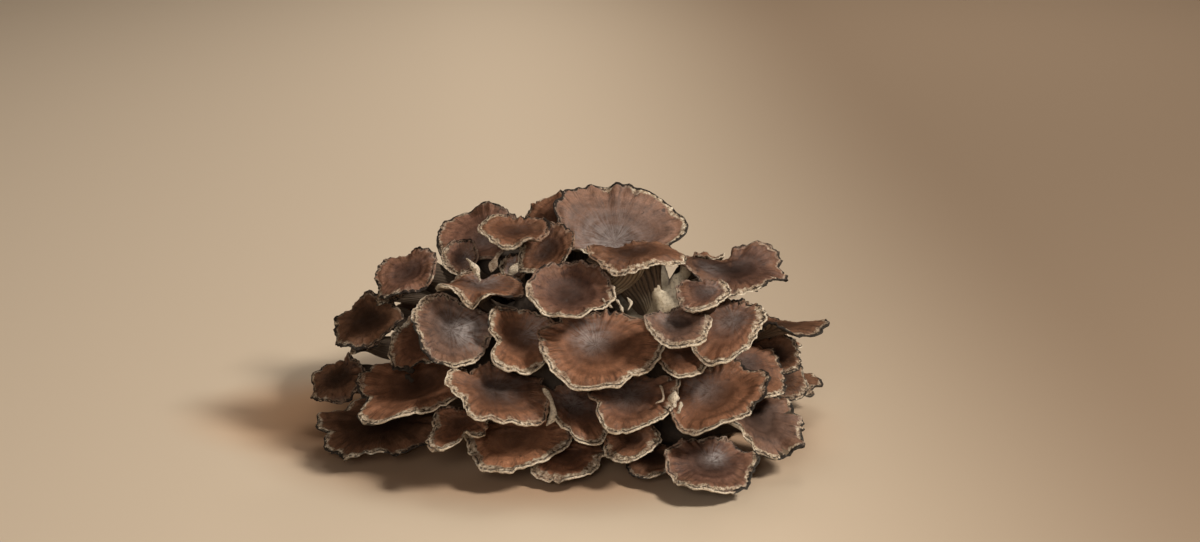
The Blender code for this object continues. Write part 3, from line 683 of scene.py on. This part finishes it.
def raisedTop(look, random, top, normals, shares, turns):
    # Relief of the upper side.
    fibres = ripple(random, turns, range(24, 60))[None] + 0.7 * ripple(random, turns, range(12, 24))[None]
    warp = lumps(random, top, 22 * mm)
    zones = np.sin(math.tau * (shares * 3.4 + 0.22 * warp + random.random()))
    height = look["fibres"] * fibres * smooth(shares, 0.45, 0.9)
    pleats = ripple(random, turns, range(7, 17))[None]
    height = height + look["pleats"] * pleats * smooth(shares, 0.35, 0.95)
    height = height + look["rings"] * zones * smooth(shares, 0.1, 0.3) * (1 - smooth(shares, 0.85, 0.95))
    height = height + look["lumps"] * lumps(random, top, 13 * mm) * smooth(shares, 0.0, 0.4) * 0.5
    crinkle = 1 + 0.8 * ripple(random, turns, range(20, 50))[None] + 0.5 * lumps(random, top, 3 * mm)
    height = height + look["lip"] * crinkle * smooth(shares, 0.91, 0.96)
    height = height - 0.6 * look["lip"] * (smooth(shares, 0.84, 0.90) - smooth(shares, 0.90, 0.93))
    height = height - look["navel"] * np.exp(-(shares / 0.45) ** 2)
    return top + normals * (height * mm)[:, :, None]


def lipRows(upper, lower, outward):
    # The rounded lip between the two sides.
    middle, half = (upper + lower) / 2, (upper - lower) / 2
    bulge = 0.75 * np.linalg.norm(half, axis=1, keepdims=True)
    angles = [math.pi * turn for turn in frondMesh["lipTurns"]]
    return np.array([middle + half * math.cos(angle) + outward * bulge * math.sin(angle) for angle in angles])


def gilledUnder(random, bottom, shares, stalk, turns):
    # Gills on the lower side, running down the stalk, and how high each point lies on them.
    drift = 0.12 * ripple(random, turns, range(2, 7))
    ridge = 0.5 + 0.5 * np.cos(math.tau * (len(turns) // 4) * turns + drift)[None]
    ridge = np.repeat(ridge, len(bottom), axis=0)
    depth = smooth(shares, 0.99, 0.9)[:, None] * (1 - 0.55 * stalk[:, None])
    depth = depth * (0.8 + 0.35 * lumps(random, bottom, 9 * mm))
    return bottom + gridNormals(bottom) * ((ridge - 0.6) * depth * 0.62 * mm)[:, :, None], ridge


def bloomAndSheenOver(look, hub, grid, topCount):
    # Where the whitish patch lies: partly grey coating, partly painted sheen.
    strength, alongX, alongY, radius = look["bloom"]
    centre = hub + np.array([alongX, alongY, 0]) * mm
    reach = np.linalg.norm((grid - centre)[:, :, :2], axis=2) / (radius * mm)
    return strength * np.exp(-(reach**2)) * (np.arange(len(grid)) < topCount)[:, None]


def insetOver(grid, rim):
    # How far each point is from the margin along the surface, in mm.
    steps = np.linalg.norm(np.diff(grid, axis=0), axis=2)
    inner = np.cumsum(steps[:rim][::-1], axis=0)[::-1]
    return np.concatenate([inner, np.zeros((1, grid.shape[1])), np.cumsum(steps[rim:], axis=0)]) / mm


def burntOver(name, look, random, bearing, turns):
    burnt = bearingMask(bearing, look["burnt"][0], look["burnt"][1]) * look["burnt"][2]
    if slotOf[name] == "skin_dark":
        burnt = np.maximum(burnt, frondMesh["darkBurnt"])
    return np.clip(burnt + 0.25 * ripple(random, turns, range(3, 24), 0.5), 0, 1)


def wavedSides(top, bottom, normals, shares, outward, out, rise):
    # The margin's waves, which fade towards the middle and down the lower side.
    top = top + (outward * out[:, None])[None] * smooth(shares, 0.55, 1.0)[:, :, None] ** 1.5
    top = top + normals * (rise[None] * smooth(shares, 0.35, 1.0) ** 1.3)[:, :, None]
    fall = np.exp(-np.linalg.norm(bottom - bottom[0], axis=2) / (7 * mm))[:, :, None]
    bottom = bottom + ((outward * out[:, None]) + normals[-1] * (rise[:, None] + 0.85 * mm))[None] * fall
    return top, bottom


def grainOver(random, shareRows, underRow, turns):
    # Places along the fibres: round the hub, and from the hub over the margin to the stalk.
    spread = (len(shareRows), len(turns))
    angle = math.tau * turns
    wide = len(turns) / 9
    down = 3.0 * shareRows[:, None] + 4.0 * underRow[:, None] + 50 * random.random()
    return np.stack([np.broadcast_to(wide * np.cos(angle), spread),
                     np.broadcast_to(wide * np.sin(angle), spread),
                     np.broadcast_to(down, spread)], axis=2)


def frondGrid(name, hub, rings):
    # Every row of points over the frond from the hub to the stalk's end, and what its material reads.
    random = np.random.default_rng(zlib.crc32(name.encode()))
    look = lookOf(name, random)
    rim0 = rings[len(frondMesh["cadTopShares"]) - 1]
    length = np.linalg.norm(np.roll(rim0, -1, axis=0) - rim0, axis=1).sum()
    count = int(np.clip(length / frondMesh["step"], frondMesh["fewest"], frondMesh["most"])) // 4 * 4
    turns = np.arange(count) / count

    top = topRows(hub, rings, turns)
    bottom, bottomShares, stalk = underRows(rings, turns)
    shares = np.array(frondMesh["topShares"] + [1.0])[:, None]
    outward = unit(top[-1] - top[-5])
    bearing = np.degrees(np.arctan2(top[-1, :, 1] - hub[1], top[-1, :, 0] - hub[0]))
    burnt = burntOver(name, look, random, bearing, turns)
    small = min(1, length / frondMesh["fullLength"])
    out, rise = marginShift(look, random, turns, bearing, burnt, small)
    normals = gridNormals(top)
    top, bottom = wavedSides(top, bottom, normals, shares, outward, out, rise)
    top = raisedTop(look, random, top, normals, shares, turns)
    lip = lipRows(top[-1], bottom[0], outward)
    bottom, ridge = gilledUnder(random, bottom, bottomShares, stalk, turns)
    grid = np.concatenate([top, lip, bottom])
    rows = len(grid)
    spread = (rows, count)

    shareRows = np.concatenate([shares[:, 0], np.full(len(lip), 1.0), bottomShares])
    underRow = np.concatenate([np.zeros(len(top)), np.linspace(0.0, 0.35, len(lip)),
                               smooth(1 - bottomShares, -0.005, 0.05) * 0.6 + 0.4])
    stalkRow = np.concatenate([np.zeros(len(top) + len(lip)), stalk])
    grain = grainOver(random, shareRows, underRow, turns)

    # Pale margins face away from the middle of the cluster. Painted shade darkens caps towards their hubs and
    # towards the middle of the cluster.
    away = unit((hub * [1, 1, 0])[None])[0]
    pale = 0.15 + 0.85 * smooth(outward @ away, -0.35, 0.55)
    pale = np.clip(pale - 0.6 * burnt + 0.22 * ripple(random, turns, range(3, 24)), 0, 1) * look["wide"]
    inward = (hub - grid) @ away / np.linalg.norm(rim0 - hub, axis=1).mean()
    deep = smooth(1 - shareRows, 0.25, 0.95)[:, None] + 1.1 * smooth(inward, 0.0, 1.0)
    facts = {
        "deep": look["deep"] * np.clip(deep, 0, 1),
        "inset": insetOver(grid, len(top) + len(lip) // 2),
        "pale": np.broadcast_to(pale[None], spread),
        "flesh": np.full(spread, look["flesh"]),
        "share": np.broadcast_to(shareRows[:, None], spread),
        "under": np.broadcast_to(underRow[:, None], spread),
        "stalk": np.broadcast_to(stalkRow[:, None], spread),
        "burnt": np.broadcast_to(burnt[None], spread),
        "bloom": bloomAndSheenOver(look, hub, grid, len(top)),
        "gill": np.concatenate([np.ones((rows - len(bottom), count)), ridge]),
        # Brightness of the frond: partly random tone, partly painted light and shade.
        "shade": np.full(spread, np.clip(look["shade"] + random.uniform(-0.12, 0.12), 0, 1)),
        "zoneShift": np.full(spread, random.uniform(-0.06, 0.06)),
    }
    return grid, grain, facts


def meshFromGrid(name, first, grid, last):
    rows, count = grid.shape[:2]
    points = np.concatenate([first[None], grid.reshape(-1, 3), last[None]])
    here = np.arange(count)
    after = (here + 1) % count
    end = len(points) - 1
    lastRow = end - count
    faces = np.stack([np.zeros(count, int), 1 + here, 1 + after], axis=1).tolist()
    for row in range(rows - 1):
        a = 1 + row * count
        faces += np.stack([a + here, a + count + here, a + count + after, a + after], axis=1).tolist()
    faces += np.stack([np.full(count, end), lastRow + after, lastRow + here], axis=1).tolist()
    mesh = bpy.data.meshes.new(name)
    mesh.from_pydata(points.tolist(), [], faces)
    mesh.shade_smooth()
    return mesh


def addFact(mesh, name, grid, ends, kind="FLOAT", key="value"):
    flat = grid.reshape(-1, 3) if kind == "FLOAT_VECTOR" else grid.reshape(-1)
    values = np.concatenate([[ends[0]], flat, [ends[1]]]).astype(np.float32)
    mesh.attributes.new(name, kind, "POINT").data.foreach_set(key, values.reshape(-1))


def addPiece(name, mesh, slot, paints):
    mesh.materials.append(paints[slot])
    piece = bpy.data.objects.new(name, mesh)
    bpy.context.scene.collection.objects.link(piece)
    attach(piece, "root")
    return piece


def buildFrond(node, paints):
    hub, rings, tip = readRings(node)
    grid, grain, facts = frondGrid(node.name, hub, rings)
    top = grid[0].mean(axis=0)
    mesh = meshFromGrid(node.name + "_skin", top, grid, tip)
    for name, values in facts.items():
        middle = 0.0 if name == "share" else values[0].mean()
        addFact(mesh, name, values, (middle, values[-1].mean()))
    middles = (np.array([0, 0, grain[0, 0, 2]]), np.array([0, 0, grain[-1, 0, 2]]))
    addFact(mesh, "grain", grain, middles, "FLOAT_VECTOR", "vector")
    piece = addPiece(node.name + "_skin", mesh, slotOf[node.name], paints)
    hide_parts(node.name)
    return len(mesh.loops) - 2 * len(mesh.polygons)


stem = {"voxel": 1.5 * mm, "wrinkle": 1.1 * mm, "wrinkleSize": 7 * mm, "flatBelow": 2.5 * mm,
        "smoothings": 6, "seed": 7, "creamHeart": (0.049, -0.028, 0.077), "heartReach": (0.030, 0.015),
        "footHeights": (0.006, 0.001), "footCream": 0.3,
        # Most lobes are dark fills put into gaps between fronds where only shade shows; the small ones by the
        # cream heart are the stem seen by the gills.
        "lobes": (
            ((-0.024, 0.022, 0.076), 0.013, (1.2, 1.0, 1.3)),
            ((-0.039, 0.013, 0.077), 0.010, (1.1, 1.0, 1.1)),
            ((-0.060, 0.010, 0.064), 0.013, (1.4, 1.0, 1.1)),
            ((0.038, 0.002, 0.072), 0.010, (1.0, 1.0, 1.6)),
            ((0.067, -0.014, 0.007), 0.011, (1.8, 1.3, 0.6)),
            ((0.050, -0.030, 0.011), 0.012, (1.6, 1.3, 0.8)),
            ((0.043, -0.024, 0.066), 0.0095, (1.0, 1.0, 1.4)),
            ((0.046, -0.031, 0.070), 0.0070, (1.1, 0.9, 1.4)),
            ((0.051, -0.027, 0.079), 0.0042, (1.0, 1.0, 1.7)),
            ((0.055, -0.023, 0.087), 0.0036, (1.0, 1.0, 1.7)),
            ((0.041, -0.033, 0.079), 0.0030, (0.9, 0.9, 2.0)),
        )}


# Pale folds and torn bits on the margins: slot, points along the middle in mm, half width, which way
# its width lies, how far it is curled in mm, and how pale and how burnt it is.
folds = {
    "front_folded_crescent": (
        "skin_brown", ((-12.5, -73, 45), (-9, -76, 40), (-8, -79, 34), (-11, -81, 29.5)),
        2.3, (1.0, -0.3, 0.1), 1.4, 1.0, 0.0),
    "right_large_torn_flake": (
        "skin_warm", ((48.5, -79, 46), (47.5, -82, 43), (48.5, -84, 39.5)),
        3.0, (1.0, 0.2, 0.5), 2.0, 1.0, 0.0),
    "right_large_torn_curl": (
        "skin_warm", ((51, -83, 42), (50.5, -85, 39.5), (49, -86, 37.5)),
        1.5, (0.6, -0.6, 0.4), 1.2, 0.8, 0.3),
    "front_middle_hooked_fold": (
        "skin_brown", ((41.5, -77, 48), (43, -79, 44.5), (42, -81.5, 42), (39.5, -83, 41)),
        1.1, (0.8, -0.5, 0.3), 0.8, 0.5, 0.0),
    "upright_pale_fold": (
        "skin_grey", ((-49, -37, 97), (-45, -38, 92), (-42.5, -39, 86)),
        1.9, (1.0, -0.2, 0.3), 1.2, 1.0, 0.0),
    "hollow_bud_tip": (
        "skin_grey", ((-30, -26, 82), (-28, -27, 87), (-25, -27, 91.5)),
        2.3, (1.0, 0.1, -0.2), 1.2, 1.0, 0.0),
    "hollow_bud_point": (
        "skin_warm", ((-38, -24, 86), (-36.5, -24, 91), (-34, -23, 95.5)),
        2.4, (1.0, 0.1, -0.2), 1.2, 0.4, 0.0),
    "dish_curl_left": (
        "skin_grey", ((15, -57, 83.5), (17, -59, 81), (20, -60, 80)),
        1.0, (0.3, -0.4, 0.9), 1.0, 1.0, 0.0),
    "dish_curl_middle": (
        "skin_grey", ((21.5, -57, 83), (23, -59.5, 81), (25, -61, 78)),
        1.1, (0.8, -0.5, 0.3), 1.0, 1.0, 0.0),
    "dish_curl_right": (
        "skin_grey", ((26.5, -57, 84), (28, -58.5, 81.5), (27, -60, 78.5)),
        1.0, (0.9, -0.4, 0.1), 1.0, 1.0, 0.0),
    "saddle_pale_lip": (
        "skin_grey", ((17, -48, 94.5), (22, -50, 93.5), (27, -50, 94.5)),
        1.7, (0.1, -0.3, 1.0), 0.9, 1.0, 0.0),
    "left_knot_first": (
        "skin_dark", ((-78, -57, 50), (-75.5, -60, 48.5), (-73, -61, 50)),
        2.6, (0.3, -0.4, 0.9), 1.8, 0.1, 1.0),
    "left_knot_second": (
        "skin_dark", ((-77, -59, 46.5), (-75, -61.5, 46), (-74, -62, 43.5)),
        2.0, (0.9, -0.3, 0.3), 1.4, 0.1, 1.0),
}
foldMesh = {"along": 30, "around": 20, "halfThickness": 0.55 * mm, "wrinkle": 0.28 * mm,
            "wrinkleSize": 2.2 * mm, "narrowest": 0.08}


def buildFold(name, paints):
    slot, spots, halfWidth, across, curl, pale, burnt = folds[name]
    random = np.random.default_rng(zlib.crc32(name.encode()))
    spots = np.array(spots) * mm
    along, around = foldMesh["along"], foldMesh["around"]
    t = np.linspace(0, 1, along)
    middle = splineThrough(np.linspace(0, 1, len(spots)), spots, t)
    ahead = unit(np.gradient(middle, axis=0))
    side = np.array(across) - ahead * (ahead @ np.array(across))[:, None]
    side = unit(side)
    face = np.cross(side, ahead)
    uneven = 0.75 + 0.25 * np.sin(math.tau * 1.3 * t + random.random() * 6)
    taper = np.sqrt(np.clip(1 - (2 * t - 1) ** 2, 0, 1)) * uneven
    taper = np.maximum(taper, foldMesh["narrowest"])[:, None, None]
    angle = (np.arange(around) / around * math.tau)[None, :, None]
    x = np.cos(angle) * halfWidth * mm * taper
    y = np.sin(angle) * foldMesh["halfThickness"] * np.sqrt(taper)
    y = y + curl * mm * (x / (halfWidth * mm)) ** 2
    grid = middle[:, None] + side[:, None] * x + face[:, None] * y
    wrinkles = lumps(random, grid, foldMesh["wrinkleSize"])[:, :, None] * face[:, None]
    grid = grid + wrinkles * foldMesh["wrinkle"]
    mesh = meshFromGrid(name, grid[0].mean(axis=0), grid, grid[-1].mean(axis=0))
    plainFacts = {"share": 0.97, "inset": 0.7, "pale": pale, "burnt": burnt, "gill": 1.0, "shade": 0.6}
    for fact in factNames:
        value = plainFacts.get(fact, 0.0)
        addFact(mesh, fact, np.full((along, around), value), (value, value))
    turned = angle[:, :, 0]
    grain = np.stack(np.broadcast_arrays(3 * np.cos(turned), 3 * np.sin(turned), 5 * t[:, None]), axis=2)
    addFact(mesh, "grain", grain, (grain[0, 0], grain[-1, 0]), "FLOAT_VECTOR", "vector")
    addPiece(name, mesh, slot, paints)


# A funnel of gills that runs from under a cap down to the stem: centres and half widths in mm.
gills = {
    "top": (26, -34, 95.5), "topHalf": (18, 9), "bottom": (39, -22, 64), "bottomHalf": (8, 7),
    "count": 34, "depth": 1.1, "rows": 34, "flare": 2.2, "stepsPerGill": 6,
}


def buildGills(name, slot, paints):
    random = np.random.default_rng(zlib.crc32(name.encode()))
    count = gills["count"] * gills["stepsPerGill"]
    t = np.linspace(0, 1, gills["rows"])[:, None]
    turns = (np.arange(count) / count)[None]
    angle = math.tau * (turns + 0.006 * ripple(random, turns, range(2, 7)))
    narrow = (1 - t) ** gills["flare"]
    top, bottom = np.array(gills["top"]), np.array(gills["bottom"])
    topHalf, bottomHalf = np.array(gills["topHalf"]), np.array(gills["bottomHalf"])
    centre = bottom + (top - bottom) * (1 - t)
    half = bottomHalf + (topHalf - bottomHalf) * narrow
    uneven = 2.2 * ripple(random, turns, range(3, 9)) + 0.7 * np.sin(5 * t + 9 * turns)
    ridge = 0.5 + 0.5 * np.cos(math.tau * gills["count"] * turns + uneven)
    swell = 1 + (ridge - 0.5) * gills["depth"] / half.mean(axis=1)[:, None] * (1 - 0.6 * t)
    x = centre[:, 0:1] + half[:, 0:1] * swell * np.cos(angle)
    y = centre[:, 1:2] + half[:, 1:2] * swell * np.sin(angle)
    z = np.broadcast_to(centre[:, 2:3], x.shape)
    grid = np.stack([x, y, z], axis=2) * mm
    grid = grid + (lumps(random, grid, 8 * mm) * 0.5 * mm)[:, :, None] * np.array([1, -1, 0])
    mesh = meshFromGrid(name, grid[0].mean(axis=0), grid, grid[-1].mean(axis=0))
    spread = (gills["rows"], count)
    fleshy = np.clip(smooth(t, 0.45, 0.95) * smooth(np.cos(angle + 0.6), 0.1, 0.9), 0.02, 1)
    facts = {"share": 0.4, "inset": 12.0, "under": 1.0, "stalk": smooth(t, 0.3, 0.9), "burnt": 0.0,
             "pale": 0.5, "bloom": 0.0, "gill": ridge, "shade": 0.5, "flesh": fleshy, "deep": 0.0,
             "zoneShift": 0.0}
    for fact, value in facts.items():
        values = np.broadcast_to(value, spread)
        addFact(mesh, fact, values, (values[0].mean(), values[-1].mean()))
    grain = np.stack(np.broadcast_arrays(9 * np.cos(angle), 9 * np.sin(angle), 3 * t), axis=2)
    addFact(mesh, "grain", grain, (grain[0, 0], grain[-1, 0]), "FLOAT_VECTOR", "vector")
    addPiece(name, mesh, slot, paints)


# brown, tan and cream are the flesh; darkest and dark are painted shade.
stemTints = {"brown": (0.20, 0.145, 0.09), "tan": (0.50, 0.41, 0.28), "cream": (0.76, 0.67, 0.51),
             "darkest": (0.022, 0.014, 0.009), "dark": (0.060, 0.040, 0.026)}


def stemPaint():
    # Painted shade over most of the stem, which shows only in gaps between fronds; cream flesh at a heart by
    # the gills and at the foot.
    paint = Paint("stem_flesh")
    place = paint.place()
    broad = paint.noise(place, 70, 4, 0.6, 0.5)
    fine = paint.noise(place, 700, 4, 0.65)
    cream = paint.ramp(broad, ((0.30, stemTints["brown"]), (0.46, stemTints["tan"]),
                               (0.60, stemTints["cream"])))
    cream = paint.mix(paint.between(fine, 0.45, 0.7, (0.0, 0.6)), cream, stemTints["brown"])
    dark = paint.ramp(broad, ((0.35, stemTints["darkest"]), (0.65, stemTints["dark"])))
    nearHeart = paint.between(paint.distance(place, stem["creamHeart"]), *stem["heartReach"])
    height = paint.add("SeparateXYZ", {}, {0: place}).outputs["Z"]
    nearFoot = paint.between(height, *stem["footHeights"], (0.0, stem["footCream"]))
    colour = paint.mix(paint.math("MAXIMUM", nearHeart, nearFoot), dark, cream)
    paint.put(paint.shader.inputs["Base Color"], colour)
    paint.put(paint.shader.inputs["Roughness"], 0.8)
    bumps = paint.weighted(((broad, 2.0), (fine, 1.0)))
    paint.put(paint.shader.inputs["Normal"], paint.bump(bumps, 0.8 * mm, 0.7))
    return paint.material


def addLobe(place, radius, stretch):
    # A lobe of the stem, later merged with it.
    bpy.ops.mesh.primitive_uv_sphere_add(segments=24, ring_count=14, radius=radius, location=place)
    lobe = bpy.context.object
    lobe.scale = stretch
    return lobe


def buildStem():
    node = cadNodes["stem_base"]
    piece = bpy.data.objects.new("stem_base_flesh", node.data.copy())
    bpy.context.scene.collection.objects.link(piece)
    lobes = [addLobe(*lobe) for lobe in stem["lobes"]]
    bpy.ops.object.select_all(action="DESELECT")
    for part in lobes + [piece]:
        part.select_set(True)
    bpy.context.view_layer.objects.active = piece
    bpy.ops.object.join()
    bpy.ops.object.select_all(action="DESELECT")
    piece.select_set(True)
    bpy.context.view_layer.objects.active = piece
    bpy.ops.object.mode_set(mode="EDIT")
    bpy.ops.mesh.select_all(action="SELECT")
    bpy.ops.mesh.remove_doubles(threshold=0.00001)
    bpy.ops.object.mode_set(mode="OBJECT")
    remesh = piece.modifiers.new("remesh", "REMESH")
    remesh.mode = "VOXEL"
    remesh.voxel_size = stem["voxel"]
    bpy.ops.object.modifier_apply(modifier="remesh")
    soften = piece.modifiers.new("soften", "SMOOTH")
    soften.iterations = stem["smoothings"]
    bpy.ops.object.modifier_apply(modifier="soften")
    places = np.array([corner.co for corner in piece.data.vertices])
    normals = np.array([corner.normal for corner in piece.data.vertices])
    random = np.random.default_rng(stem["seed"])
    swell = lumps(random, places, stem["wrinkleSize"]) + 0.5 * lumps(random, places, stem["wrinkleSize"] / 3)
    held = smooth(places[:, 2], 0.0, stem["flatBelow"])
    places += normals * (swell * held * stem["wrinkle"] * 0.4)[:, None]
    places[:, 2] = np.maximum(places[:, 2], 0)
    piece.data.vertices.foreach_set("co", places.reshape(-1))
    piece.data.materials.clear()
    piece.data.materials.append(stemPaint())
    piece.data.shade_smooth()
    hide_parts("stem_base")
    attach(piece, "root")


def main():
    addCamera()
    addStudio()
    print("studio and camera made")
    buildStem()
    print("stem made")
    paints = {slot: frondPaint(slot) for slot in skinTints}
    triangles = 0
    for name in sorted(cadNodes):
        if name != "stem_base":
            triangles += buildFrond(cadNodes[name], paints)
    print("fronds made,", triangles, "triangles")
    for name in folds:
        buildFold(name, paints)
    buildGills("crown_saddle_gills", "skin_warm", paints)
    print("folds and gills made")


main()
bpy.context.view_layer.update()
